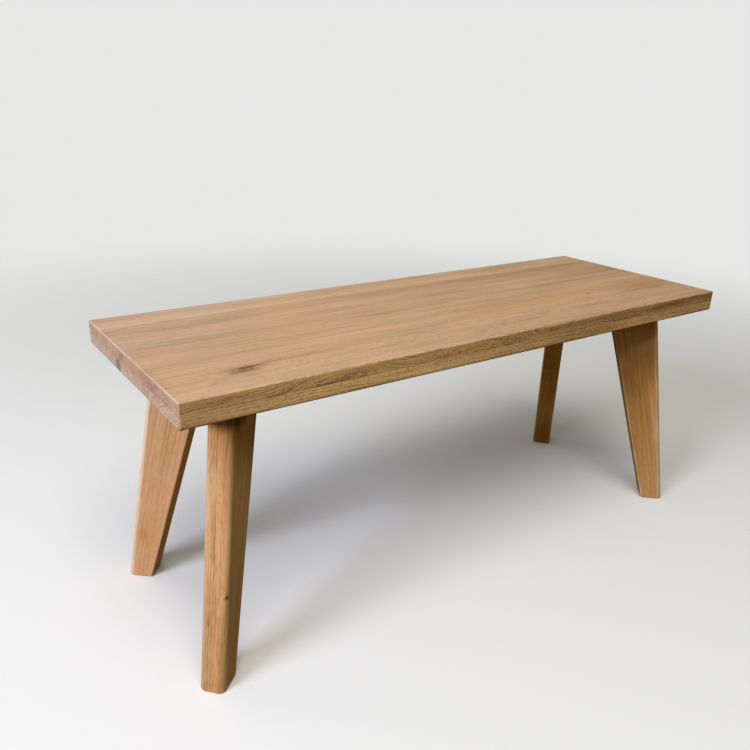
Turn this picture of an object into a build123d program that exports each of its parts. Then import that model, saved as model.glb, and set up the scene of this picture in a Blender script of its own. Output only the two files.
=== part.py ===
from build123d import *
import os
from math import cos, radians, sin

os.makedirs("parts", exist_ok=True)

# A dining bench in solid oak: a seat of two glued layers of boards on four splayed plank legs.
# Millimetres, +Z up. The origin is on the floor, under the middle of the seat.
# X runs along the bench, and -Y is its front.

# Seat
seat_length = 1070
seat_width = 375
seat_height = 450
layer_thickness = 18     # of the upper layer, and of the lower one glued under it
corner_radius = 3        # the seat's four upright corners
arris_radius = 2         # its edges, above and below
upper_joint_shares = (0.16, 0.56, 0.79)  # where its boards meet, across the seat from the back edge

# Legs: planks on edge, each in an upright plane that runs out to a corner of the seat
leg_plan_angle = 42      # degrees, from the bench's length to that plane
leg_thickness = 38
leg_top_width = 92
leg_foot_width = 42
leg_splay = 73           # how far the outer edge runs outward, from the seat down to the floor
leg_end_inset = 78       # from the seat's end in to the leg's outer edge, at the seat
leg_side_inset = 66      # the same from the seat's long edge
outer_edge_radius = 10   # the two long edges that face the room are well rounded
inner_edge_radius = 3
foot_edge_radius = 2

# Loose tenons: cut from a strip with round edges, they stand in mortises in the leg's top
# and go up through the seat's lower layer, into the upper one
tenons_per_leg = 2
tenon_thickness = 12
tenon_in_leg = 40        # how deep it sits in the leg
tenon_spacing = 8        # wood between two mortises
mortise_wall = 10        # least wood beside a mortise, in the plank's width
mortise_cover = 10       # wood left between a mortise and the top of the seat
glue_gap = 0.1           # round a tenon
end_gap = 1              # past each end of a tenon, for the glue it pushes ahead

# Worked out from the sizes above
seat_underside = seat_height - 2 * layer_thickness
mortise_in_leg = tenon_in_leg + end_gap
mortise_in_seat = seat_height - seat_underside - mortise_cover
tenon_in_seat = mortise_in_seat - end_gap
overrun = layer_thickness  # how far a cutting block passes what it cuts

# The inner edge leans in over the mortises, so the wood beside them is counted at their floor
inner_lean = (leg_top_width + leg_splay - leg_foot_width) / seat_underside * mortise_in_leg
tenon_room = leg_top_width - 2 * mortise_wall - inner_lean
tenon_width = (tenon_room - (tenons_per_leg - 1) * tenon_spacing) / tenons_per_leg
tenon_places = [
    -mortise_wall - tenon_width / 2 - number * (tenon_width + tenon_spacing)
    for number in range(tenons_per_leg)
]

# The lower layer's outer boards hold the mortises whole, and two narrower ones fill the middle.
# No joint of one layer lies over a joint of the other.
mortise_reach = (mortise_wall + tenon_room) * sin(radians(leg_plan_angle)) + tenon_thickness / 2
outer_board_line = seat_width / 2 - leg_side_inset - mortise_reach - mortise_wall
upper_joints = [seat_width / 2 - share * seat_width for share in upper_joint_shares]
lower_joints = [outer_board_line, 0, -outer_board_line]

leg_sides = {
    "front_left": (-1, -1),
    "front_right": (1, -1),
    "back_left": (-1, 1),
    "back_right": (1, 1),
}


def outward(side):
    # The level direction in which a leg splays
    along, across = side
    return Vector(along * cos(radians(leg_plan_angle)), across * sin(radians(leg_plan_angle)), 0)


def outer_top(side, height):
    # A point at this height, above or below the middle of a leg's outer edge where it meets the seat
    along, across = side
    return (along * (seat_length / 2 - leg_end_inset), across * (seat_width / 2 - leg_side_inset), height)


def plank_plane(side):
    # The leg's upright plane, x outward and y up from the floor
    return Plane(outer_top(side, 0), x_dir=outward(side), z_dir=outward(side).cross(Vector(0, 0, 1)))


def joint_plane(side):
    # Where the leg's top meets the seat, x outward and z up
    return Plane(outer_top(side, seat_underside), x_dir=outward(side), z_dir=(0, 0, 1))


def mortises(side):
    # The mouths of one leg's mortises, drawn in the sketch that is open
    with Locations(*[(place, 0) for place in tenon_places]):
        SlotOverall(tenon_width + 2 * glue_gap, tenon_thickness + 2 * glue_gap)


# Seat boards: each is a strip of its layer, whose outer edges are rounded as one
layers = {
    "upper": (seat_height - layer_thickness, upper_joints),
    "lower": (seat_underside, lower_joints),
}
for layer, (bottom, joints) in layers.items():
    lines = [seat_width / 2 + overrun, *joints, -seat_width / 2 - overrun]
    for number, (back_line, front_line) in enumerate(zip(lines, lines[1:]), start=1):
        with BuildPart() as board:
            with BuildSketch(Plane.XY.offset(bottom)):
                RectangleRounded(seat_length, seat_width, corner_radius)
            extrude(amount=layer_thickness)
            outer_face = board.faces().sort_by(Axis.Z)[-1 if layer == "upper" else 0]
            fillet(outer_face.edges(), radius=arris_radius)
            with BuildSketch(Plane.XY.offset(bottom - overrun)):
                with Locations((0, (back_line + front_line) / 2)):
                    Rectangle(seat_length + 2 * overrun, back_line - front_line)
            extrude(amount=layer_thickness + 2 * overrun, mode=Mode.INTERSECT)
            for side in leg_sides.values():
                with BuildSketch(joint_plane(side)):
                    mortises(side)
                extrude(amount=mortise_in_seat, mode=Mode.SUBTRACT)
        board.part.label = f"{layer}_board_{number}"
        export_step(board.part, f"parts/{board.part.label}.step")

# Legs: a tapered plank, cut level at the seat and at the floor
for corner, side in leg_sides.items():
    with BuildPart() as leg:
        with BuildSketch(plank_plane(side)):
            with BuildLine():
                Polyline(
                    (0, seat_underside),
                    (leg_splay, 0),
                    (leg_splay - leg_foot_width, 0),
                    (-leg_top_width, seat_underside),
                    close=True,
                )
            make_face()
        extrude(amount=leg_thickness / 2, both=True)
        long_edges = leg.edges().sort_by(SortBy.LENGTH)[-4:]
        long_edges = long_edges.sort_by(Axis(outer_top(side, 0), outward(side)))
        fillet(long_edges[:2], radius=inner_edge_radius)
        fillet(long_edges[2:], radius=outer_edge_radius)
        fillet(leg.faces().sort_by(Axis.Z)[0].edges(), radius=foot_edge_radius)
        with BuildSketch(joint_plane(side)):
            mortises(side)
        extrude(amount=-mortise_in_leg, mode=Mode.SUBTRACT)
    leg.part.label = f"leg_{corner}"
    export_step(leg.part, f"parts/{leg.part.label}.step")

# Loose tenons, numbered from the leg's outer edge inward
for corner, side in leg_sides.items():
    for number, place in enumerate(tenon_places, start=1):
        with BuildPart() as tenon:
            with BuildSketch(joint_plane(side).offset(-tenon_in_leg)):
                with Locations((place, 0)):
                    SlotOverall(tenon_width, tenon_thickness)
            extrude(amount=tenon_in_leg + tenon_in_seat)
        tenon.part.label = f"tenon_{corner}_{number}"
        export_step(tenon.part, f"parts/{tenon.part.label}.step")
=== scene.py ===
from math import cos, radians, sin

import bpy
from mathutils import Matrix, Quaternion, Vector


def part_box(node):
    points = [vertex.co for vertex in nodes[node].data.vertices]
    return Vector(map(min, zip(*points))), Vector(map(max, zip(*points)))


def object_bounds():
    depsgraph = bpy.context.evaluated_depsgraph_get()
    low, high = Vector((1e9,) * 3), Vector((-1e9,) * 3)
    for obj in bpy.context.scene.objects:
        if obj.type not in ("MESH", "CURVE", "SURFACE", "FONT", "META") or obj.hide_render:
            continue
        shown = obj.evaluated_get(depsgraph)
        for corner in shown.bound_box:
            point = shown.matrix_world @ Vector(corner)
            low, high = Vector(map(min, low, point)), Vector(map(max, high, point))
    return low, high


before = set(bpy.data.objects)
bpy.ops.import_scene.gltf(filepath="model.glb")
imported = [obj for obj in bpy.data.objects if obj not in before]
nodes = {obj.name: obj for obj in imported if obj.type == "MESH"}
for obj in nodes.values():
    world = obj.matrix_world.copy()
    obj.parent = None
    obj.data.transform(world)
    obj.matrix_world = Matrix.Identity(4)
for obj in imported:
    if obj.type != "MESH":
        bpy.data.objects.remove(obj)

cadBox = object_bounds()
seatLow, seatHigh = cadBox[0].copy(), cadBox[1].copy()
seatLow.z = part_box("lower_board_1")[0].z
seatSize = seatHigh - seatLow
seatMiddle = (seatLow + seatHigh) / 2
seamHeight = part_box("upper_board_1")[0].z
print("frame loaded, seat", [round(v, 3) for v in seatSize])


# Node helpers: a value is another node's output, or a plain number, vector or colour

def addNode(tree, kind, **settings):
    node = tree.nodes.new(kind)
    for name, value in settings.items():
        setattr(node, name, value)
    return node


def feed(tree, socket, value):
    if isinstance(value, bpy.types.NodeSocket):
        tree.links.new(value, socket)
    else:
        socket.default_value = value


def calc(tree, operation, *values, clamp=False):
    node = addNode(tree, "ShaderNodeMath", operation=operation, use_clamp=clamp)
    for socket, value in zip(node.inputs, values):
        feed(tree, socket, value)
    return node.outputs["Value"]


def calcVector(tree, operation, *values, output="Vector"):
    node = addNode(tree, "ShaderNodeVectorMath", operation=operation)
    for socket, value in zip(node.inputs, values):
        feed(tree, socket, value)
    return node.outputs[output]


def parts(tree, vector):
    node = addNode(tree, "ShaderNodeSeparateXYZ")
    feed(tree, node.inputs["Vector"], vector)
    return node.outputs["X"], node.outputs["Y"], node.outputs["Z"]


def joined(tree, x, y, z):
    node = addNode(tree, "ShaderNodeCombineXYZ")
    for socket, value in zip(node.inputs, (x, y, z)):
        feed(tree, socket, value)
    return node.outputs["Vector"]


def eased(tree, value, start, end, low=0.0, high=1.0):
    # Goes smoothly from low at start to high at end, and stays there
    node = addNode(tree, "ShaderNodeMapRange", interpolation_type="SMOOTHSTEP")
    given = {"Value": value, "From Min": start, "From Max": end, "To Min": low, "To Max": high}
    for name, amount in given.items():
        feed(tree, node.inputs[name], amount)
    return node.outputs["Result"]


def noise(tree, vector, stretch, seed, detail=2.0):
    # Stretch is how many waves there are to the metre, along, across and through the board
    shifted = calcVector(tree, "MULTIPLY_ADD", vector, stretch, joined(tree, seed, seed, seed))
    node = addNode(tree, "ShaderNodeTexNoise")
    feed(tree, node.inputs["Vector"], shifted)
    feed(tree, node.inputs["Scale"], 1.0)
    feed(tree, node.inputs["Detail"], detail)
    return node.outputs


def swing(tree, value, weight, start):
    # Adds a noise to start, counted up and down from its middle
    return calc(tree, "MULTIPLY_ADD", calc(tree, "SUBTRACT", value, 0.5), weight, start)


def weighed(tree, given, weights, start, clamp=False):
    # Adds masks to start, each by its weight
    for name, weight in weights.items():
        start = calc(tree, "MULTIPLY_ADD", given[name], weight, start, clamp=clamp)
    return start


def most(tree, values):
    # The largest of several masks
    result = values[0] if values else 0.0
    for value in values[1:]:
        result = calc(tree, "MAXIMUM", result, value)
    return result


def colourSocket(sockets, name):
    return next(s for s in sockets if s.name == name and s.type == "RGBA")


def mixed(tree, share, first, second, mode="MIX"):
    node = addNode(tree, "ShaderNodeMix", data_type="RGBA", blend_type=mode)
    feed(tree, node.inputs["Factor"], share)
    feed(tree, colourSocket(node.inputs, "A"), first)
    feed(tree, colourSocket(node.inputs, "B"), second)
    return colourSocket(node.outputs, "Result")


def tinted(tree, share, colour, tint):
    return mixed(tree, share, colour, tint, mode="MULTIPLY")


def startGroup(name, inputs, outputs):
    # Inputs and outputs give each socket's name and kind
    group = bpy.data.node_groups.new(name, "ShaderNodeTree")
    for label, kind in inputs.items():
        group.interface.new_socket(label, in_out="INPUT", socket_type="NodeSocket" + kind)
    for label, kind in outputs.items():
        group.interface.new_socket(label, in_out="OUTPUT", socket_type="NodeSocket" + kind)
    return group, addNode(group, "NodeGroupInput").outputs, addNode(group, "NodeGroupOutput").inputs


def place(tree, group, values):
    node = addNode(tree, "ShaderNodeGroup", node_tree=group)
    for name, value in values.items():
        feed(tree, node.inputs[name], value)
    return node.outputs


# The grain of a board, as a solid pattern of rings round the tree's middle. X runs along the grain.

grainLines = {  # each longer than it is wide
    "Band": {"stretch": (2.6, 42, 42), "detail": 3.0},
    "Drift": {"stretch": (6, 32, 32), "detail": 2.0},
    "Fibre": {"stretch": (6, 360, 360), "detail": 2.0},
    "Hair": {"stretch": (20, 1100, 1100), "detail": 1.0},
}
ringForm = {
    "astray": (4.2, 7, 7),          # waves to the metre that lead the rings astray
    "uneven": 0.31,                 # waves to a ring that vary the rings' width
    "unevenShift": 2.4,             # how far these move them, in rings
    "earlyEnds": (0.03, 0.5),       # where in its ring the early wood fades
    "earlyBegins": (0.88, 1.0),     # and where the next ring's comes up
}
poreForm = {
    "stretch": (110, 2300, 2300),
    "cut": (0.56, 0.68),            # a pore is where the noise passes this
    "inAllWood": 0.2,
    "moreInEarly": 0.8,
}
rayForm = {
    "stretch": (60, 150, 950),      # along, outward from the pith and round it
    "cut": (0.6, 0.72),
}


def buildGrainGroup():
    masks = ("Ring", "Year", "Band", "Fibre", "Hair", "Mottle", "Drift", "Pores", "Rays")
    group, given, made = startGroup(
        "oakGrain",
        {"Vector": "Vector", "Pith": "Vector", "Taper": "Float", "Ring Width": "Float",
         "Wander": "Vector", "Mottle Size": "Vector", "Push": "Float", "Seed": "Float"},
        {name: "Float" for name in masks})
    vector, seed = given["Vector"], given["Seed"]

    # Rings: the distance from the pith, led astray a little along the board
    astray = noise(group, vector, ringForm["astray"], seed)["Color"]
    centred = calcVector(group, "SUBTRACT", astray, (0.5, 0.5, 0.5))
    wandered = calcVector(group, "MULTIPLY_ADD", centred, given["Wander"], vector)
    fromPith = calcVector(group, "SUBTRACT", wandered, given["Pith"])
    x, y, z = parts(group, fromPith)
    flat = calcVector(group, "LENGTH", joined(group, 0.0, y, z), output="Value")
    radius = calc(group, "ADD", calc(group, "MULTIPLY_ADD", x, given["Taper"], flat), given["Push"])
    turns = calc(group, "DIVIDE", radius, given["Ring Width"])
    uneven = addNode(group, "ShaderNodeTexNoise", noise_dimensions="1D")
    feed(group, uneven.inputs["W"], calc(group, "MULTIPLY_ADD", turns, ringForm["uneven"], seed))
    feed(group, uneven.inputs["Scale"], 1.0)
    turns = calc(group, "MULTIPLY_ADD", uneven.outputs["Fac"], ringForm["unevenShift"], turns)
    phase = calc(group, "FRACT", turns)
    fading = eased(group, phase, *ringForm["earlyEnds"], 1, 0)
    early = calc(group, "MAXIMUM", fading, eased(group, phase, *ringForm["earlyBegins"]))
    feed(group, made["Ring"], early)
    year = addNode(group, "ShaderNodeTexWhiteNoise", noise_dimensions="1D")
    feed(group, year.inputs["W"], calc(group, "ADD", calc(group, "FLOOR", turns), seed))
    feed(group, made["Year"], year.outputs["Value"])

    # Slow bands and drifts of tone, fibres and hair-fine lines, and the board's own mottle
    for name, form in grainLines.items():
        feed(group, made[name], noise(group, wandered, form["stretch"], seed, form["detail"])["Fac"])
    feed(group, made["Mottle"], noise(group, wandered, given["Mottle Size"], seed)["Fac"])

    # Pores crowd into the early wood of each ring
    specks = noise(group, vector, poreForm["stretch"], seed, detail=0.0)["Fac"]
    crowd = calc(group, "MULTIPLY_ADD", early, poreForm["moreInEarly"], poreForm["inAllWood"])
    feed(group, made["Pores"], calc(group, "MULTIPLY", eased(group, specks, *poreForm["cut"]), crowd))

    # Rays stand out from the pith as thin sheets, so a face shows flecks, dashes or lines by how it is sawn
    angle = calc(group, "ARCTAN2", z, y)
    around = calc(group, "MULTIPLY", angle, calcVector(group, "LENGTH", given["Pith"], output="Value"))
    sheets = noise(group, joined(group, x, radius, around), rayForm["stretch"], seed, detail=0.0)["Fac"]
    feed(group, made["Rays"], eased(group, sheets, *rayForm["cut"]))
    return group


# A knot: a dark heart in a brown halo, which pushes the rings aside

knotForm = {
    "torn": (90, 220, 220),     # waves to the metre that tear its outline
    "heart": (1.0, 0.55),       # in reaches from its middle, where it begins and where it is full
    "halo": (3.2, 0.8),
    "push": (6.0, 0.0),
}


def buildKnotGroup():
    group, given, made = startGroup(
        "oakKnot",
        {"Vector": "Vector", "Centre": "Vector", "Reach": "Vector", "Ragged": "Float", "Seed": "Float"},
        {"Heart": "Float", "Halo": "Float", "Push": "Float"})
    offset = calcVector(group, "SUBTRACT", given["Vector"], given["Centre"])
    scaled = calcVector(group, "DIVIDE", offset, given["Reach"])
    torn = noise(group, given["Vector"], knotForm["torn"], given["Seed"])["Fac"]
    away = calcVector(group, "LENGTH", scaled, output="Value")
    away = swing(group, torn, given["Ragged"], away)
    feed(group, made["Heart"], eased(group, away, *knotForm["heart"]))
    feed(group, made["Halo"], eased(group, away, *knotForm["halo"]))
    feed(group, made["Push"], eased(group, away, *knotForm["push"]))
    return group


# A streak of darker or paler wood that tapers to both ends

streakForm = {
    "bend": (7, 0, 0),          # waves to the metre that bend it
    "frayed": (9, 300, 300),    # and that fray its sides
    "fray": 1.1,                # how far they do, in reaches
    "taper": (1.0, 0.2),        # in reaches, from its tips to where it is full
    "tipWidth": 0.3,
}


def buildStreakGroup():
    group, given, made = startGroup(
        "oakStreak",
        {"Vector": "Vector", "Centre": "Vector", "Reach": "Vector", "Waver": "Float", "Seed": "Float"},
        {"Streak": "Float"})
    bend = noise(group, given["Vector"], streakForm["bend"], given["Seed"])["Fac"]
    sway = calc(group, "MULTIPLY", calc(group, "SUBTRACT", bend, 0.5), given["Waver"])
    moved = calcVector(group, "ADD", given["Vector"], joined(group, 0.0, sway, sway))
    offset = calcVector(group, "SUBTRACT", moved, given["Centre"])
    x, y, z = parts(group, calcVector(group, "DIVIDE", offset, given["Reach"]))
    along = eased(group, calc(group, "ABSOLUTE", x), *streakForm["taper"])
    aside = calcVector(group, "LENGTH", joined(group, 0.0, y, z), output="Value")
    frayed = noise(group, given["Vector"], streakForm["frayed"], given["Seed"])["Fac"]
    aside = swing(group, frayed, streakForm["fray"], aside)
    width = calc(group, "MULTIPLY_ADD", along, 1 - streakForm["tipWidth"], streakForm["tipWidth"])
    feed(group, made["Streak"], calc(group, "MULTIPLY", along, eased(group, aside, width, 0.0)))
    return group


# The hairline where two boards are glued, at one place along a coordinate

def buildGlueGroup():
    group, given, made = startGroup(
        "glueLine", {"Coordinate": "Float", "Place": "Float", "Width": "Float"}, {"Line": "Float"})
    away = calc(group, "ABSOLUTE", calc(group, "SUBTRACT", given["Coordinate"], given["Place"]))
    feed(group, made["Line"], eased(group, away, given["Width"], 0.0))
    return group


# Colour, gloss and relief of oiled oak from the masks of its grain

browning = {  # how far each takes the wood from pale to brown
    "middle": 0.33,         # how brown it is before them
    "Ring": 0.34,
    "ringStart": -0.15,     # so that rings pale the wood as much as they brown it
    "Year": 0.2,
    "Band": 0.8,
    "Drift": 0.5,
    "Fibre": 0.85,
    "Hair": 0.5,
    "Mottle": 1.3,
}
markTints = {  # what each kind of mark multiplies the colour by
    "Light": (1.10, 1.12, 1.155, 1),
    "Dark": (0.45, 0.36, 0.26, 1),
    "Amber": (1.0, 0.87, 0.55, 1),
    # Painted cool light: the bluer tint at the seat's left end
    "Coollight": (0.94, 1.0, 1.28, 1),
}
oiledOak = {
    "rosy": (1.03, 0.98, 0.97, 1),      # the wood drifts from this tint to the next
    "green": (0.98, 1.0, 0.98, 1),
    "rosyDrift": (0.32, 0.68),
    "black": (0.036, 0.018, 0.006, 1),
    "rays": 0.18,                       # how strongly the rays show, then the pores and glue lines
    "pores": 0.38,
    "glue": 0.5,
    "wearSheenFibre": (0.38, 0.62),        # wear and painted highlight are least on fibres under this tone, and full above it
    "wearSheenLeast": 0.25,
    "roughness": 0.54,
    "roughening": {"Ring": 0.06, "Hair": 0.1, "Pores": 0.2, "End": 0.12},
    "relief": {"Hair": 0.3, "Ring": -0.2, "Pores": -0.7, "Glue": -1.2, "Black": -1.0},
}


def buildFinishGroup():
    masks = ("Ring", "Year", "Band", "Fibre", "Hair", "Mottle", "Drift", "Pores", "Rays",
             "Dark", "Black", "Light", "Amber", "Coollight", "Wearsheen", "Glue", "Side", "End",
             "Contrast", "Patches", "Figure", "Speckle")
    colours = ("Pale Wood", "Brown Wood", "Pore Wood", "End Tint", "Side Tint", "Wear Sheen Wood")
    group, given, made = startGroup(
        "oakFinish",
        {**{name: "Float" for name in masks}, **{name: "Color" for name in colours}},
        {"Color": "Color", "Roughness": "Float", "Height": "Float"})

    # How brown the wood is here, counted up from its patches, fibres and rings
    patches = swing(group, given["Band"], browning["Band"], 0.0)
    patches = swing(group, given["Drift"], browning["Drift"], patches)
    brown = calc(group, "MULTIPLY", patches, given["Patches"])
    brown = swing(group, given["Fibre"], browning["Fibre"], brown)
    brown = swing(group, given["Hair"], browning["Hair"], brown)
    brown = calc(group, "MULTIPLY", brown, given["Contrast"])
    rings = calc(group, "MULTIPLY_ADD", given["Ring"], browning["Ring"], browning["ringStart"])
    rings = swing(group, given["Year"], browning["Year"], rings)
    brown = calc(group, "MULTIPLY_ADD", rings, given["Figure"], brown)
    speckle = calc(group, "MULTIPLY", given["Speckle"], browning["Mottle"])
    brown = swing(group, given["Mottle"], speckle, brown)
    brown = calc(group, "ADD", brown, browning["middle"], clamp=True)

    colour = mixed(group, brown, given["Pale Wood"], given["Brown Wood"])
    drift = eased(group, given["Drift"], *oiledOak["rosyDrift"])
    colour = tinted(group, 1.0, colour, mixed(group, drift, oiledOak["rosy"], oiledOak["green"]))
    rays = calc(group, "MULTIPLY", given["Rays"], oiledOak["rays"])
    colour = mixed(group, rays, colour, given["Pale Wood"])
    pores = calc(group, "MULTIPLY", given["Pores"], oiledOak["pores"])
    colour = mixed(group, pores, colour, given["Pore Wood"])
    # On the seat, the end tint is partly painted cool light and the side tint is painted warm shade
    colour = tinted(group, given["End"], colour, given["End Tint"])
    colour = tinted(group, given["Side"], colour, given["Side Tint"])
    # The pale colour of edges and corners: partly wear, partly painted highlight and reflection
    shown = eased(group, given["Fibre"], *oiledOak["wearSheenFibre"], oiledOak["wearSheenLeast"], 1.0)
    colour = mixed(group, calc(group, "MULTIPLY", given["Wearsheen"], shown), colour, given["Wear Sheen Wood"])
    for kind, tint in markTints.items():
        colour = tinted(group, given[kind], colour, tint)
    glue = calc(group, "MULTIPLY", given["Glue"], oiledOak["glue"])
    colour = mixed(group, glue, colour, given["Pore Wood"])
    feed(group, made["Color"], mixed(group, given["Black"], colour, oiledOak["black"]))

    rough = weighed(group, given, oiledOak["roughening"], oiledOak["roughness"], clamp=True)
    feed(group, made["Roughness"], rough)
    feed(group, made["Height"], weighed(group, given, oiledOak["relief"], 0.0))
    return group


grainGroup = buildGrainGroup()
knotGroup = buildKnotGroup()
streakGroup = buildStreakGroup()
glueGroup = buildGlueGroup()
finishGroup = buildFinishGroup()
print("shader groups built")


# A board's material. Its look names the wood's colours, how strongly each part of the grain shows,
# and the marks that the real board has.

acrossAxis, heightAxis = 1, 2
markKinds = ("dark", "black", "light", "amber", "coollight", "wearsheen")
surface = {
    "endFrom": (0.55, 0.9),     # how squarely a surface has to face the grain to be end grain
    "sideFrom": (0.5, 0.85),    # and the board's edge to be that
    "bumpStrength": 0.35,
    "bumpDistance": 0.0004,     # metres
}


def knot(at, reach, ragged, halo, heart, push):
    # Reach and push are in metres. Halo and heart are how strongly each shows, and push bends the rings.
    return {"at": at, "reach": reach, "ragged": ragged, "halo": halo, "heart": heart, "push": push}


def streak(kind, at, reach, depth, waver=0.0):
    # Reach and waver are in metres, and depth is how strongly it shows. The kinds are in markKinds.
    return {"kind": kind, "at": at, "reach": reach, "depth": depth, "waver": waver}


def oakMaterial(name, look, turn=None, glue=(), wearsheen=None):
    # Turn brings the bench's frame to the board's own, with X along the grain
    material = bpy.data.materials.new(name)
    material.use_nodes = True
    tree = material.node_tree
    tree.nodes.clear()
    coordinates = addNode(tree, "ShaderNodeTexCoord")
    vector, normal = coordinates.outputs["Object"], coordinates.outputs["Normal"]
    grainAxis, sideAxis = Vector((1, 0, 0)), Vector((0, 1, 0))
    if turn:
        rotation, shift = turn
        turned = addNode(tree, "ShaderNodeMapping", vector_type="POINT")
        feed(tree, turned.inputs["Vector"], vector)
        feed(tree, turned.inputs["Rotation"], rotation.to_euler())
        feed(tree, turned.inputs["Location"], shift)
        vector = turned.outputs["Vector"]
        grainAxis, sideAxis = rotation[0], rotation[1]
    common = {"Vector": vector, "Seed": look["seed"]}

    marks = {kind: [] for kind in markKinds}
    push = 0.0
    for mark in look.get("knots", []):
        made = place(tree, knotGroup, {
            **common, "Centre": mark["at"], "Reach": mark["reach"], "Ragged": mark["ragged"]})
        marks["dark"].append(calc(tree, "MULTIPLY", made["Halo"], mark["halo"]))
        marks["black"].append(calc(tree, "MULTIPLY", made["Heart"], mark["heart"]))
        push = calc(tree, "MULTIPLY_ADD", made["Push"], mark["push"], push)
    for mark in look.get("streaks", []):
        made = place(tree, streakGroup, {
            **common, "Centre": mark["at"], "Reach": mark["reach"], "Waver": mark["waver"]})
        marks[mark["kind"]].append(calc(tree, "MULTIPLY", made["Streak"], mark["depth"]))

    grain = place(tree, grainGroup, {
        **common, "Pith": look["pith"], "Taper": look["taper"], "Ring Width": look["ringWidth"],
        "Wander": look["wander"], "Mottle Size": look["mottle"], "Push": push})
    masks = {name: grain[name] for name in grain.keys()}
    along = calcVector(tree, "DOT_PRODUCT", normal, grainAxis, output="Value")
    masks["End"] = eased(tree, calc(tree, "ABSOLUTE", along), *surface["endFrom"])
    aside = calc(tree, "ABSOLUTE", calcVector(tree, "DOT_PRODUCT", normal, sideAxis, output="Value"))
    masks["Side"] = eased(tree, aside, *surface["sideFrom"])
    masks["Speckle"] = weighed(tree, masks, {"End": 1.0, "Side": look["sideSpeckle"]}, look["speckle"])
    masks["Figure"] = weighed(
        tree, masks, {"Side": look["sideFigure"], "End": look["endFigure"]}, look["figure"])
    masks["Contrast"] = weighed(tree, masks, {"Side": look["sideContrast"]}, look["contrast"])
    lines = []
    for axis, at, width in glue:
        coordinate = parts(tree, vector)[axis]
        line = place(tree, glueGroup, {"Coordinate": coordinate, "Place": at, "Width": width})
        lines.append(line["Line"])
    masks["Glue"] = most(tree, lines)
    # Paler edges and corners: partly wear, partly painted highlight
    if wearsheen:
        marks["wearsheen"].append(wearsheen(tree, vector, aside))
    for kind, values in marks.items():
        masks[kind.capitalize()] = most(tree, values)
    finish = place(tree, finishGroup, {
        **masks, "Patches": look["patches"], "Pale Wood": look["pale"], "Brown Wood": look["brown"],
        "Pore Wood": look["pore"], "End Tint": look["endTint"], "Side Tint": look["sideTint"],
        "Wear Sheen Wood": look["wearsheenColour"]})

    bump = addNode(tree, "ShaderNodeBump")
    feed(tree, bump.inputs["Strength"], surface["bumpStrength"])
    feed(tree, bump.inputs["Distance"], surface["bumpDistance"])
    feed(tree, bump.inputs["Height"], finish["Height"])
    shader = addNode(tree, "ShaderNodeBsdfPrincipled")
    feed(tree, shader.inputs["Base Color"], finish["Color"])
    feed(tree, shader.inputs["Roughness"], finish["Roughness"])
    feed(tree, shader.inputs["Specular IOR Level"], look["gloss"])
    feed(tree, shader.inputs["Normal"], bump.outputs["Normal"])
    output = addNode(tree, "ShaderNodeOutputMaterial")
    tree.links.new(shader.outputs["BSDF"], output.inputs["Surface"])
    return material


def dress(node, material):
    slots = nodes[node].data.materials
    slots.clear()
    slots.append(material)


# Seat: places on it are shares of its length from the left end, of its width from the back edge and
# of its thickness from the top

def onTop(alongShare, acrossShare):
    return Vector((seatLow.x + alongShare * seatSize.x, seatHigh.y - acrossShare * seatSize.y, seatHigh.z))


def onFront(alongShare, downShare):
    return Vector((seatLow.x + alongShare * seatSize.x, seatLow.y, seatHigh.z - downShare * seatSize.z))


def onEnd(acrossShare, downShare):
    return Vector((seatLow.x, seatHigh.y - acrossShare * seatSize.y, seatHigh.z - downShare * seatSize.z))


# Paler seat edges: partly wear, partly painted highlight along the rounded arrises
seatEdgeWearSheen = {
    "endEdges": (0.0044, 0.0008),   # metres in, from where the wear begins to where it is full
    "endWearSheen": 0.2,
    "longEdges": (0.003, 0.0),
    "longWearSheen": 0.05,
}


def wearSheenArris(tree, vector, aside):
    # The edges of the seat's end grain are the palest, and the long ones only a little: partly wear, partly
    # painted highlight on their rounded arrises
    inside = calcVector(tree, "SUBTRACT", vector, seatMiddle)
    depth = calcVector(tree, "SUBTRACT", seatSize / 2, calcVector(tree, "ABSOLUTE", inside))
    x, y, z = parts(tree, depth)
    fromEnd = calc(tree, "MAXIMUM", x, calc(tree, "MINIMUM", y, z))
    atEnd = eased(tree, fromEnd, *seatEdgeWearSheen["endEdges"], 0, seatEdgeWearSheen["endWearSheen"])
    fromLong = calc(tree, "MAXIMUM", y, z)
    atLong = eased(tree, fromLong, *seatEdgeWearSheen["longEdges"], 0, seatEdgeWearSheen["longWearSheen"])
    return calc(tree, "MAXIMUM", atEnd, atLong)


seatGlue = {  # how far the dark line reaches to either side of each, in metres
    "joint": 0.0006,
    "seam": 0.0003,
}
seatWood = {
    "pale": (0.655, 0.43, 0.27, 1),
    "brown": (0.365, 0.21, 0.102, 1),
    "pore": (0.15, 0.085, 0.045, 1),
    # The end grain's tint: partly its own greyer tone, partly painted cool light from the left
    "endTint": (0.90, 0.94, 1.06, 1),
    # Painted warm shade: the long edges are tinted yellower
    "sideTint": (1.05, 1.02, 0.87, 1),
    # The pale colour of worn edges and of painted highlights
    "wearsheenColour": (0.69, 0.57, 0.53, 1),
    "contrast": 1.0,                # of the fibres and patches
    "sideContrast": 0.4,            # what the long edges add to it
    "gloss": 0.35,
    "patches": 1.0,
    "speckle": 0.0,
    "sideSpeckle": 1.0,
    "mottle": (180, 400, 560),      # waves to the metre
    "figure": 0.5,                  # of the rings
    "sideFigure": 1.1,
    "endFigure": 1.2,
    "taper": 0.012,                 # of the trunk, along the board
    "ringWidth": 0.0028,
    "wander": (0, 0.012, 0.012),
}
lowerWood = {  # what three of the lower boards share
    "pale": (0.675, 0.455, 0.30, 1),
    # Bluer end grain: partly its own tone, partly painted cool light
    "endTint": (0.92, 0.97, 1.16, 1),
}

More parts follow.
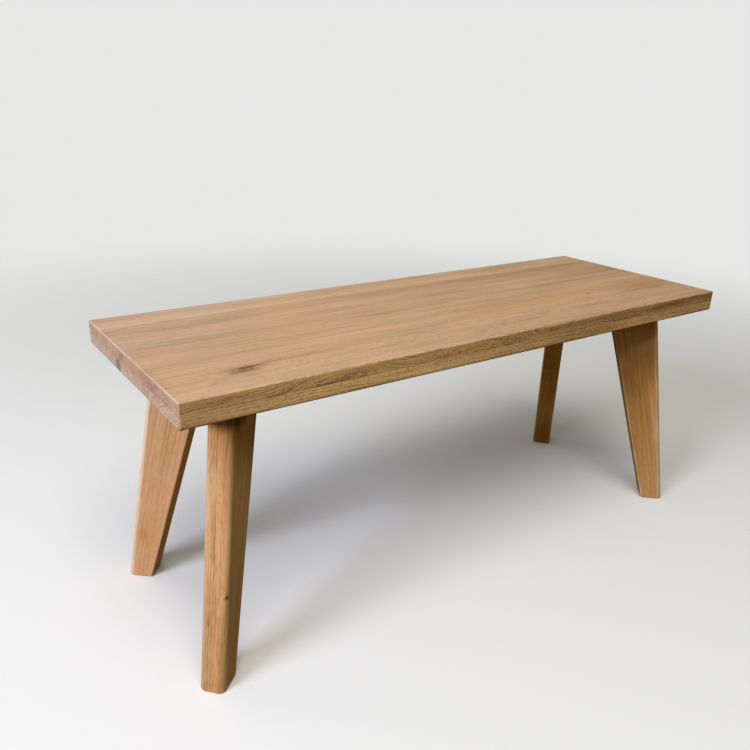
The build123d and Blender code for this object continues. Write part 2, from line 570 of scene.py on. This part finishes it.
# Pith is where the middle of the tree lay, in the bench's frame
boardLooks = {
    "upper_board_1": {
        "seed": 1.7,
        "pith": (0, 0.45, 0.40),
        "pale": (0.67, 0.455, 0.302, 1),
        "streaks": [
            # On the top
            streak("light", onTop(0.24, 0.07), (0.20, 0.06, 0.03), 0.8),
            # Painted shade: darker towards the left end
            streak("dark", onTop(0.0, 0.05), (0.10, 0.06, 0.03), 0.15),
            streak("dark", onTop(0.80, 0.07), (0.16, 0.04, 0.03), 0.2),
            # Painted cool light: bluer towards the left end
            streak("coollight", onTop(0.10, 0.08), (0.28, 0.08, 0.006), 0.45),
            streak("amber", onTop(0.90, 0.08), (0.30, 0.08, 0.03), 0.2),
            # On the end grain
            streak("dark", onEnd(0.09, 0.30), (0.03, 0.006, 0.012), 0.55),
            streak("dark", onEnd(0.12, 0.25), (0.03, 0.012, 0.010), 0.45),
            streak("dark", onEnd(0.04, 0.25), (0.02, 0.040, 0.03), 0.2),
        ],
    },
    "upper_board_2": {
        "seed": 4.2,
        "pith": (0, 0.42, 0.47),
        "contrast": 1.2,
        "pale": (0.625, 0.412, 0.263, 1),
        "streaks": [
            # On the top
            streak("dark", onTop(0.72, 0.195), (0.60, 0.021, 0.03), 0.36, waver=0.012),
            streak("dark", onTop(0.13, 0.27), (0.20, 0.004, 0.03), 0.4, waver=0.012),
            streak("dark", onTop(0.12, 0.43), (0.14, 0.0035, 0.03), 0.45, waver=0.02),
            streak("dark", onTop(0.55, 0.365), (0.07, 0.004, 0.03), 0.35, waver=0.01),
            streak("dark", onTop(0.38, 0.51), (0.045, 0.005, 0.03), 0.5, waver=0.01),
            streak("dark", onTop(0.82, 0.485), (0.22, 0.005, 0.03), 0.5, waver=0.01),
            streak("dark", onTop(1.0, 0.35), (0.34, 0.09, 0.03), 0.3, waver=0.02),
            # Painted shade and painted cool light: darker and bluer towards the left end
            streak("dark", onTop(0.1, 0.47), (0.30, 0.04, 0.03), 0.14, waver=0.01),
            streak("coollight", onTop(0.0, 0.33), (0.30, 0.13, 0.006), 0.55),
            streak("dark", onTop(0.31, 0.44), (0.14, 0.05, 0.006), 0.15, waver=0.01),
            streak("light", onTop(0.35, 0.40), (0.07, 0.010, 0.03), 0.7, waver=0.02),
            # On the end grain
            streak("dark", onEnd(0.41, 0.3), (0.02, 0.005, 0.012), 0.45),
            streak("dark", onEnd(0.435, 0.2), (0.02, 0.010, 0.010), 0.6),
            streak("dark", onEnd(0.19, 0.3), (0.02, 0.004, 0.014), 0.4),
            streak("dark", onEnd(0.23, 0.25), (0.02, 0.010, 0.012), 0.3),
            streak("light", onEnd(0.31, 0.25), (0.02, 0.030, 0.02), 0.9),
        ],
    },
    "upper_board_3": {
        "seed": 7.9,
        "pith": (0, -0.36, 0.42),
        "knots": [
            knot(onTop(0.78, 0.71), (0.0045, 0.0022, 0.02), ragged=1.2, halo=0.5, heart=0.5, push=0.002),
        ],
        "streaks": [
            # On the top
            streak("dark", onTop(0.91, 0.77), (0.12, 0.009, 0.03), 0.6, waver=0.004),
            streak("dark", onTop(1.0, 0.7), (0.34, 0.06, 0.03), 0.35, waver=0.02),
            # Painted shade and painted cool light: darker and bluer towards the left end
            streak("dark", onTop(0.0, 0.68), (0.35, 0.07, 0.006), 0.18),
            streak("coollight", onTop(0.0, 0.68), (0.30, 0.07, 0.006), 0.2),
            streak("dark", onTop(0.36, 0.758), (0.16, 0.003, 0.03), 0.3, waver=0.004),
            streak("amber", onTop(0.75, 0.67), (0.50, 0.09, 0.006), 0.25),
            streak("dark", onTop(0.66, 0.67), (0.30, 0.08, 0.006), 0.14, waver=0.01),
            # On the end grain
            streak("dark", onEnd(0.765, 0.3), (0.02, 0.010, 0.012), 0.6),
            streak("dark", onEnd(0.66, 0.3), (0.02, 0.05, 0.03), 0.16),
            streak("dark", onEnd(0.70, 0.25), (0.02, 0.10, 0.03), 0.36),
        ],
    },
    "upper_board_4": {
        "seed": 2.6,
        "pith": (0, -0.13, 0.30),
        "ringWidth": 0.0027,
        "wander": (0, 0.006, 0.045),
        "brown": (0.28, 0.152, 0.05, 1),
        "contrast": 0.8,
        "sideContrast": 1.9,
        "pale": (0.655, 0.43, 0.284, 1),
        "sideSpeckle": 1.9,
        # Painted warm shade: the front edge is tinted yellower still
        "sideTint": (1.06, 0.985, 0.72, 1),
        "figure": 0.03,
        "sideFigure": 2.4,
        "knots": [
            knot(onTop(0.108, 0.825), (0.017, 0.0035, 0.006), ragged=2.4, halo=0.5, heart=0.6, push=0.006),
            knot(onTop(0.104, 0.843), (0.010, 0.0050, 0.006), ragged=3.4, halo=0.72, heart=0.3, push=0.0),
            knot(onFront(0.58, 0.42), (0.020, 0.02, 0.0045), ragged=0.4, halo=0.0, heart=0.0, push=0.022),
            knot(onFront(0.22, 0.0), (0.024, 0.02, 0.0050), ragged=0.5, halo=0.0, heart=0.0, push=-0.018),
        ],
        "streaks": [
            # On the top
            streak("black", onTop(0.115, 0.816), (0.03, 0.0022, 0.006), 0.8, waver=0.002),
            streak("dark", onTop(0.17, 0.81), (0.09, 0.002, 0.006), 0.9, waver=0.004),
            streak("black", onTop(0.113, 0.842), (0.0040, 0.0022, 0.006), 0.7),
            streak("black", onTop(0.100, 0.855), (0.0050, 0.0020, 0.006), 0.6),
            streak("black", onTop(0.090, 0.834), (0.0070, 0.0020, 0.006), 0.5),
            streak("dark", onTop(0.735, 0.86), (0.07, 0.009, 0.01), 0.25, waver=0.002),
            streak("dark", onTop(1.0, 0.9), (0.16, 0.05, 0.01), 0.15, waver=0.002),
            # Painted highlight: a pale strip on the arris near the front left corner
            streak("wearsheen", onTop(0.0, 0.90), (0.003, 0.022, 0.004), 0.9),
            # On the front edge
            streak("dark", onFront(0.04, 0.25), (0.06, 0.006, 0.008), 0.4, waver=0.002),
            streak("dark", onFront(0.003, 0.5), (0.0018, 0.004, 0.05), 0.6),
            streak("dark", onFront(0.2, 0.46), (0.13, 0.006, 0.0025), 0.6, waver=0.002),
            streak("dark", onFront(0.44, 0.46), (0.06, 0.006, 0.0025), 0.5, waver=0.002),
            # Painted shade: the front edge darker towards the right end
            streak("dark", onFront(0.85, 0.25), (0.75, 0.006, 0.04), 0.45),
            streak("dark", onFront(0.86, 0.25), (0.11, 0.006, 0.014), 0.95, waver=0.002),
            streak("dark", onFront(0.61, 0.22), (0.16, 0.006, 0.012), 0.7, waver=0.002),
            streak("dark", onFront(0.25, 0.25), (0.09, 0.006, 0.014), 0.36, waver=0.002),
            streak("light", onFront(0.40, 0.25), (0.15, 0.006, 0.03), 0.8),
            streak("dark", onFront(0.0, 0.25), (0.12, 0.006, 0.014), 0.36),
            streak("dark", onFront(0.95, 0.12), (0.09, 0.006, 0.005), 0.5, waver=0.002),
            # On the end grain
            streak("dark", onEnd(0.805, 0.2), (0.02, 0.012, 0.009), 0.6),
            streak("dark", onEnd(0.84, 0.25), (0.02, 0.06, 0.03), 0.22),
        ],
    },
    "lower_board_1": {
        "seed": 11.3,
        "pith": (0, 0.03, 0.33),
        **lowerWood,
    },
    "lower_board_2": {
        "seed": 13.1,
        "pith": (0, 0.02, 0.56),
        **lowerWood,
        "knots": [
            knot(onEnd(0.385, 0.72), (0.012, 0.0055, 0.0065), ragged=1.0, halo=0.7, heart=0.0, push=0.010),
        ],
        "streaks": [
            # On the end grain
            streak("black", onEnd(0.370, 0.74), (0.012, 0.0028, 0.009), 0.55),
            streak("dark", onEnd(0.385, 0.72), (0.012, 0.008, 0.008), 0.9),
        ],
    },
    "lower_board_3": {
        "seed": 16.8,
        "pith": (0, -0.25, 0.45),
        **lowerWood,
    },
    "lower_board_4": {
        "seed": 19.4,
        "pith": (0, -0.17, 0.36),
        "pale": (0.735, 0.482, 0.257, 1),
        "brown": (0.40, 0.23, 0.10, 1),
        # Bluer end grain: partly its own tone, partly painted cool light
        "endTint": (0.86, 0.91, 1.25, 1),
        "ringWidth": 0.0034,
        "wearsheenColour": (0.69, 0.53, 0.36, 1),
        "wander": (0, 0.006, 0.02),
        "endFigure": 2.0,
        "sideContrast": 1.4,
        "sideFigure": 1.2,
        "sideSpeckle": 2.0,
        "streaks": [
            # On the front edge
            # Painted shade: a dark line along the bottom edge of the front
            streak("black", onFront(0.5, 1.0), (1.5, 0.004, 0.0045), 0.8),
            streak("black", onFront(0.001, 0.5), (0.005, 0.005, 0.0018), 0.6),
            streak("black", onFront(0.002, 1.0), (0.010, 0.008, 0.0055), 0.9),
            streak("dark", onFront(0.95, 0.75), (0.13, 0.006, 0.014), 0.5),
            streak("dark", onFront(0.665, 0.75), (0.15, 0.006, 0.03), 0.54),
            # Painted shade and painted cool light: darker and bluer towards the left end of the front
            streak("dark", onFront(0.0, 0.75), (0.14, 0.006, 0.03), 0.3),
            streak("coollight", onFront(0.0, 0.75), (0.12, 0.004, 0.03), 0.5),
            streak("light", onFront(0.25, 0.75), (0.20, 0.006, 0.03), 1.0),
            # Painted highlight: a pale line along the seam near each end
            streak("wearsheen", onFront(0.03, 0.53), (0.07, 0.006, 0.0018), 0.5),
            streak("wearsheen", onFront(0.94, 0.53), (0.12, 0.006, 0.0022), 0.7),
            # On the end grain
            streak("dark", onEnd(0.67, 0.75), (0.02, 0.04, 0.03), 0.18),
        ],
    },
}

for node, own in boardLooks.items():
    low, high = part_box(node)
    glue = [(heightAxis, seamHeight, seatGlue["seam"])]
    for edge, outer in ((low.y, seatLow.y), (high.y, seatHigh.y)):
        if abs(edge - outer) > seatGlue["joint"]:  # the seat's own edges aren't joints
            glue.append((acrossAxis, edge, seatGlue["joint"]))
    dress(node, oakMaterial(node, {**seatWood, **own}, glue=glue, wearsheen=wearSheenArris))
print("seat boards finished")


# Legs: the grain runs down the middle of each plank. Its pith and marks are placed in the leg's own
# frame: down from its middle, outward and through its thickness.

legWood = {
    "pale": (0.64, 0.375, 0.19, 1),
    "brown": (0.38, 0.19, 0.08, 1),
    "pore": (0.33, 0.155, 0.055, 1),
    "endTint": (0.8, 0.8, 0.85, 1),
    "sideTint": (1, 1, 1, 1),
    "wearsheenColour": (0.80, 0.57, 0.35, 1),
    "contrast": 1.2,
    "sideContrast": 0.2,
    "gloss": 0.2,
    "patches": 0.6,
    "speckle": 0.8,
    "sideSpeckle": 0.2,
    "mottle": (90, 420, 420),
    "figure": 0.26,
    "sideFigure": 0.0,
    "endFigure": 0.8,
    "taper": 0.01,
    "ringWidth": 0.0024,
    "wander": (0, 0.007, 0.007),
    "planAngle": 42,    # degrees between the bench's length and the plank
    "lean": 13.2,       # degrees that the plank's middle line leans out
}
legLooks = {
    "leg_front_left": {
        "sides": (-1, -1),
        "seed": 23.0,
        "pith": (0, 0.03, 0.14),
        "pale": (0.65, 0.425, 0.218, 1),
        "brown": (0.36, 0.168, 0.046, 1),
        "sideTint": (1.06, 0.95, 0.96, 1),
        "contrast": 1.45,
        "sideContrast": 0.0,
        "speckle": 0.45,
        "wander": (0, 0.004, 0.004),
        "ringWidth": 0.0036,
        "sideFigure": 0.5,
        # The pale colour of the corners: partly wear, partly painted highlight
        "wearsheenColour": (0.84, 0.60, 0.32, 1),
        "knots": [
            knot((0.076, 0.039, -0.0175), (0.0035, 0.003, 0.003), ragged=1.0, halo=0.5, heart=0.8, push=0.0),
        ],
        "streaks": [
            # A dark stain right under the seat, partly painted shadow where the leg meets the seat
            streak("black", (-0.172, 0.050, -0.004), (0.014, 0.06, 0.05), 0.75, waver=0.004),
            streak("dark", (-0.172, 0.050, -0.003), (0.025, 0.06, 0.06), 1.0, waver=0.004),
            streak("wearsheen", (-0.12, 0.046, -0.019), (0.06, 0.008, 0.008), 0.6, waver=0.004),
            streak("dark", (-0.14, 0.052, -0.011), (0.07, 0.02, 0.0013), 0.3, waver=0.002),
            streak("dark", (-0.12, 0.051, -0.006), (0.06, 0.02, 0.0014), 0.3, waver=0.002),
            streak("dark", (-0.13, 0.051, 0.001), (0.05, 0.02, 0.0012), 0.3, waver=0.002),
            streak("dark", (-0.15, 0.050, 0.019), (0.07, 0.02, 0.008), 0.4),
            streak("dark", (0.17, 0.015, -0.023), (0.28, 0.08, 0.014), 0.45),
            # Painted shade: the lit outer face darker towards the foot
            streak("dark", (0.18, 0.036, 0.0), (0.18, 0.03, 0.035), 0.30),
            streak("dark", (0.18, 0.034, -0.016), (0.26, 0.02, 0.014), 0.6),
            streak("amber", (0.12, 0.036, -0.012), (0.24, 0.03, 0.014), 0.25),
            # Amber warms that stain and painted shadow
            streak("amber", (-0.18, 0.050, -0.008), (0.10, 0.06, 0.08), 1.0),
            streak("amber", (-0.10, 0.050, -0.010), (0.13, 0.03, 0.018), 0.55),
            # Painted light: the lit outer face paler towards its top, under the seat
            streak("light", (-0.08, 0.050, 0.010), (0.13, 0.03, 0.025), 0.5),
            streak("dark", (-0.02, 0.046, 0.002), (0.08, 0.02, 0.004), 0.4, waver=0.006),
            streak("dark", (0.13, 0.038, -0.003), (0.07, 0.02, 0.005), 0.35, waver=0.006),
            # Paler streaks along the rounded corner: partly wear, partly painted highlight
            streak("wearsheen", (-0.08, 0.048, -0.016), (0.12, 0.012, 0.005), 0.3, waver=0.004),
            streak("wearsheen", (0.06, 0.041, -0.015), (0.16, 0.012, 0.006), 0.4, waver=0.004),
        ],
    },
    "leg_front_right": {
        "sides": (1, -1),
        "seed": 27.5,
        "pith": (0, 0.10, 0.09),
        "pale": (0.585, 0.307, 0.103, 1),
        "brown": (0.32, 0.14, 0.032, 1),
        # Painted reflection: a bright pale colour for the rim along the rounded corners
        "wearsheenColour": (0.95, 0.74, 0.5, 1),
        "contrast": 1.45,
        "figure": 0.38,
        "ringWidth": 0.0045,
        "speckle": 0.6,
        "streaks": [
            # Painted light and painted shade: paler towards the foot, darker in the middle of the inner
            # side, for the seat's shadow
            streak("light", (0.20, 0.02, 0.019), (0.22, 0.05, 0.02), 0.8),
            streak("dark", (0.06, -0.03, 0.019), (0.32, 0.05, 0.02), 0.26),
            # Painted light: paler wood at the top left, in the seat's shadow
            streak("wearsheen", (-0.14, 0.0, 0.019), (0.042, 0.08, 0.02), 0.40),
            streak("wearsheen", (-0.115, -0.03, 0.019), (0.045, 0.04, 0.02), 0.28),
            # Painted reflection and painted light: a pale rim along the outer corner, and paler wood towards
            # the foot
            streak("wearsheen", (0.08, 0.034, 0.015), (0.20, 0.014, 0.012), 0.32, waver=0.003),
            streak("wearsheen", (0.20, 0.020, 0.019), (0.15, 0.03, 0.02), 0.13),
            streak("amber", (-0.14, 0.0, 0.019), (0.17, 0.06, 0.02), 0.5),
            # Painted light at the very top, and painted shade in a band below it, where the seat's shadow
            # ends
            streak("light", (-0.19, -0.01, 0.019), (0.11, 0.09, 0.02), 1.0),
            streak("dark", (-0.085, 0.03, 0.019), (0.065, 0.05, 0.02), 0.45),
            streak("dark", (-0.055, -0.01, 0.019), (0.06, 0.08, 0.02), 0.4),
            streak("dark", (-0.20, 0.02, 0.019), (0.12, 0.010, 0.01), 0.2, waver=0.004),
            streak("dark", (-0.13, 0.010, 0.019), (0.12, 0.004, 0.01), 0.35, waver=0.004),
            streak("dark", (-0.15, 0.032, 0.019), (0.10, 0.003, 0.01), 0.35, waver=0.004),
            streak("dark", (-0.14, -0.008, 0.019), (0.10, 0.004, 0.01), 0.35, waver=0.004),
        ],
    },
    "leg_back_left": {
        "sides": (-1, 1),
        "seed": 31.9,
        "pith": (0, 0.08, 0.11),
        "contrast": 1.08,
        "speckle": 0.5,
        # Painted light: paler wood than the other legs', with paler narrow edges and corners, for the light
        # this leg lacks under the seat
        "pale": (0.85, 0.495, 0.262, 1),
        "brown": (0.50, 0.245, 0.092, 1),
        "sideTint": (1.1, 1.14, 1.14, 1),
        "wearsheenColour": (0.97, 0.75, 0.53, 1),
        "streaks": [
            # Painted light: paler towards the top, under the seat
            streak("light", (-0.17, 0.0, -0.019), (0.20, 0.12, 0.02), 0.6),
            streak("dark", (0.13, 0.022, -0.019), (0.025, 0.012, 0.01), 0.4, waver=0.002),
            streak("amber", (0.13, 0.015, -0.019), (0.05, 0.035, 0.01), 0.55, waver=0.002),
            streak("amber", (-0.05, 0.005, -0.019), (0.07, 0.030, 0.01), 0.4, waver=0.002),
            streak("dark", (-0.10, -0.005, -0.019), (0.03, 0.010, 0.01), 0.3, waver=0.002),
            # Painted shade: darker towards the foot
            streak("dark", (0.19, 0.01, -0.019), (0.34, 0.10, 0.02), 0.15),
        ],
    },
    "leg_back_right": {
        "sides": (1, 1),
        "seed": 36.4,
        "pith": (0, 0.05, 0.13),
        # Painted light: paler and yellower wood, for the weak warm light under the seat
        "pale": (0.70, 0.40, 0.125, 1),
        "brown": (0.42, 0.205, 0.045, 1),
        "streaks": [
            # Painted shade: darker at the top, under the seat
            streak("dark", (-0.20, -0.03, 0.0), (0.13, 0.05, 0.06), 0.9),
            streak("dark", (0.21, -0.01, 0.0), (0.12, 0.05, 0.06), 0.85),
            streak("amber", (0.16, -0.01, 0.0), (0.22, 0.05, 0.06), 0.7),
        ],
    },
}
# Paler rounded leg corners: partly wear, partly painted highlight and reflection
legCornerWearSheen = {
    "begins": (0.06, 0.42),     # how far the surface has turned towards the plank's narrow side
    "ends": (0.98, 0.7),        # on the narrow side itself there is none
    "wearsheen": 0.75,
}


def wearSheenCorner(tree, vector, aside):
    # The planks' well rounded corners are paler than their faces: partly rubbed, partly painted highlight
    # and reflection
    turned = eased(tree, aside, *legCornerWearSheen["begins"])
    return calc(tree, "MULTIPLY", turned, eased(tree, aside, *legCornerWearSheen["ends"], 0, legCornerWearSheen["wearsheen"]))


def alongLeg(node, sides, wood):
    plan, lean = radians(wood["planAngle"]), radians(wood["lean"])
    outward = Vector((sides[0] * cos(plan), sides[1] * sin(plan), 0))
    down = outward * sin(lean) - Vector((0, 0, cos(lean)))
    thickness = outward.cross(Vector((0, 0, 1)))
    rotation = Matrix((down, thickness.cross(down), thickness))
    low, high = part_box(node)
    return rotation, -(rotation @ ((low + high) / 2))


for node, own in legLooks.items():
    turn = alongLeg(node, own["sides"], legWood)
    dress(node, oakMaterial(node, {**legWood, **own}, turn=turn, wearsheen=wearSheenCorner))
print("legs finished")


# Tenons: plain beech, hidden in their mortises

tenonWood = {
    "pale": (0.70, 0.50, 0.34, 1),
    "brown": (0.52, 0.34, 0.21, 1),
    "pore": (0.40, 0.25, 0.15, 1),
    "endTint": (0.9, 0.9, 0.9, 1),
    "sideTint": (1, 1, 1, 1),
    "wearsheenColour": (0.7, 0.5, 0.34, 1),
    "contrast": 0.6,
    "sideContrast": 0.0,
    "gloss": 0.35,
    "patches": 1.0,
    "speckle": 0.0,
    "sideSpeckle": 0.0,
    "mottle": (180, 400, 560),
    "figure": 0.3,
    "sideFigure": 0.0,
    "endFigure": 0.3,
    "taper": 0.01,
    "ringWidth": 0.0025,
    "wander": (0, 0.003, 0.003),
    "seed": 41.0,
    "pith": (0, 0.08, 0.02),
}
# Their grain stands upright
upright = Matrix(((0, 0, 1), (1, 0, 0), (0, 1, 0)))
beech = oakMaterial("tenon_beech", tenonWood, turn=(upright, Vector((0, 0, 0))))
for node in nodes:
    if node.startswith("tenon"):
        dress(node, beech)
print("tenons finished")


# Studio: a pale round floor that fades into the background, and is clear from below

studio = {
    "floorRadius": 9.0,
    "floorSides": 128,
    "floorRoughness": 0.9,
    "fadeStart": 0.9,
    "fadeEnd": 3.2,
    "floorSeen": (0.81, 0.825, 0.85, 1),    # what the camera sees
    "floorLit": (0.16, 0.125, 0.035, 1),    # what lights the underside of the bench
    "background": (0.80, 0.80, 0.795, 1),
    "skyColour": (1.0, 0.96, 0.75, 1),
    "horizon": 0.065,       # how bright the sky is there, and then straight above
    "zenith": 0.30,
}


def buildFloor():
    bpy.ops.mesh.primitive_circle_add(
        vertices=studio["floorSides"], radius=studio["floorRadius"], fill_type="NGON")
    floor = bpy.context.object
    floor.name = "studio_floor"
    material = bpy.data.materials.new("studio_floor")
    material.use_nodes = True
    tree = material.node_tree
    tree.nodes.clear()
    path = addNode(tree, "ShaderNodeLightPath")
    shader = addNode(tree, "ShaderNodeBsdfPrincipled")
    feed(tree, shader.inputs["Roughness"], studio["floorRoughness"])
    feed(tree, shader.inputs["Specular IOR Level"], 0.0)
    feed(tree, shader.inputs["Base Color"],
         mixed(tree, path.outputs["Is Camera Ray"], studio["floorLit"], studio["floorSeen"]))
    clear = addNode(tree, "ShaderNodeBsdfTransparent")
    coordinates = addNode(tree, "ShaderNodeTexCoord")
    away = calcVector(tree, "LENGTH", coordinates.outputs["Object"], output="Value")
    faded = eased(tree, away, studio["fadeStart"], studio["fadeEnd"])
    below = addNode(tree, "ShaderNodeNewGeometry").outputs["Backfacing"]
    mix = addNode(tree, "ShaderNodeMixShader")
    feed(tree, mix.inputs[0], calc(tree, "MAXIMUM", faded, below))
    tree.links.new(shader.outputs["BSDF"], mix.inputs[1])
    tree.links.new(clear.outputs["BSDF"], mix.inputs[2])
    output = addNode(tree, "ShaderNodeOutputMaterial")
    tree.links.new(mix.outputs["Shader"], output.inputs["Surface"])
    floor.data.materials.append(material)


def buildSky():
    # Light from above, like a large ceiling softbox. The camera sees only the plain background.
    world = bpy.data.worlds.new("studio")
    bpy.context.scene.world = world
    world.use_nodes = True
    tree = world.node_tree
    tree.nodes.clear()
    path = addNode(tree, "ShaderNodeLightPath")
    direction = addNode(tree, "ShaderNodeTexCoord").outputs["Generated"]
    height = calc(tree, "MAXIMUM", parts(tree, direction)[heightAxis], 0.0)
    lit = addNode(tree, "ShaderNodeBackground")
    feed(tree, lit.inputs["Color"], studio["skyColour"])
    feed(tree, lit.inputs["Strength"],
         calc(tree, "MULTIPLY_ADD", height, studio["zenith"] - studio["horizon"], studio["horizon"]))
    seen = addNode(tree, "ShaderNodeBackground")
    feed(tree, seen.inputs["Color"], studio["background"])
    mix = addNode(tree, "ShaderNodeMixShader")
    feed(tree, mix.inputs[0], path.outputs["Is Camera Ray"])
    tree.links.new(lit.outputs["Background"], mix.inputs[1])
    tree.links.new(seen.outputs["Background"], mix.inputs[2])
    output = addNode(tree, "ShaderNodeOutputWorld")
    tree.links.new(mix.outputs["Shader"], output.inputs["Surface"])


# Lamps: heading is counted in degrees from the bench's left end towards its front
lamps = {
    "window": {
        "heading": 10,
        "elevation": 23,
        "distance": 5.4,
        "size": 2.5,
        "power": 206,
        "colour": (0.98, 1, 1.22),
    },
    "ceiling": {
        "heading": 56,
        "elevation": 58,
        "distance": 3.6,
        "size": 2.6,
        "power": 85,
        "colour": (1, 0.965, 0.84),
    },
    "fill": {
        "heading": 305,
        "elevation": 24,
        "distance": 4.2,
        "size": 3.0,
        "power": 20,
        "colour": (1, 0.96, 0.86),
    },
}


def buildLamp(name, values):
    light = bpy.data.lights.new(name, "AREA")
    light.shape = "DISK"
    light.size = values["size"]
    light.energy = values["power"]
    light.color = values["colour"]
    lamp = bpy.data.objects.new(name, light)
    bpy.context.scene.collection.objects.link(lamp)
    heading, elevation = radians(values["heading"]), radians(values["elevation"])
    towards = Vector((-cos(heading) * cos(elevation), -sin(heading) * cos(elevation), sin(elevation)))
    lamp.location = seatMiddle + towards * values["distance"]
    lamp.rotation_mode = "QUATERNION"
    lamp.rotation_quaternion = (-towards).to_track_quat("-Z", "Y")


buildFloor()
buildSky()
for name, values in lamps.items():
    buildLamp(name, values)
print("floor, sky and lamps set")


# Camera: where the photo was taken from, in metres and degrees
view = {
    "eye": (-0.7919, -0.9336, 0.7813),
    "heading": 54.57,       # from the bench's length towards its back
    "dip": 20.92,
    "roll": 1.82,
    "lens": 34.91,          # millimetres
    "nearestSeen": 0.05,
}


def buildCamera():
    camera = bpy.data.objects.new("camera", bpy.data.cameras.new("camera"))
    bpy.context.scene.collection.objects.link(camera)
    bpy.context.scene.camera = camera
    camera.data.lens = view["lens"]
    camera.data.clip_start = view["nearestSeen"]
    heading, dip = radians(view["heading"]), radians(view["dip"])
    sight = Vector((cos(heading) * cos(dip), sin(heading) * cos(dip), -sin(dip)))
    camera.location = view["eye"]
    camera.rotation_mode = "QUATERNION"
    level = sight.to_track_quat("-Z", "Y")
    camera.rotation_quaternion = level @ Quaternion((0, 0, 1), radians(view["roll"]))


buildCamera()
bpy.context.scene.view_settings.view_transform = "Standard"
print("camera set")
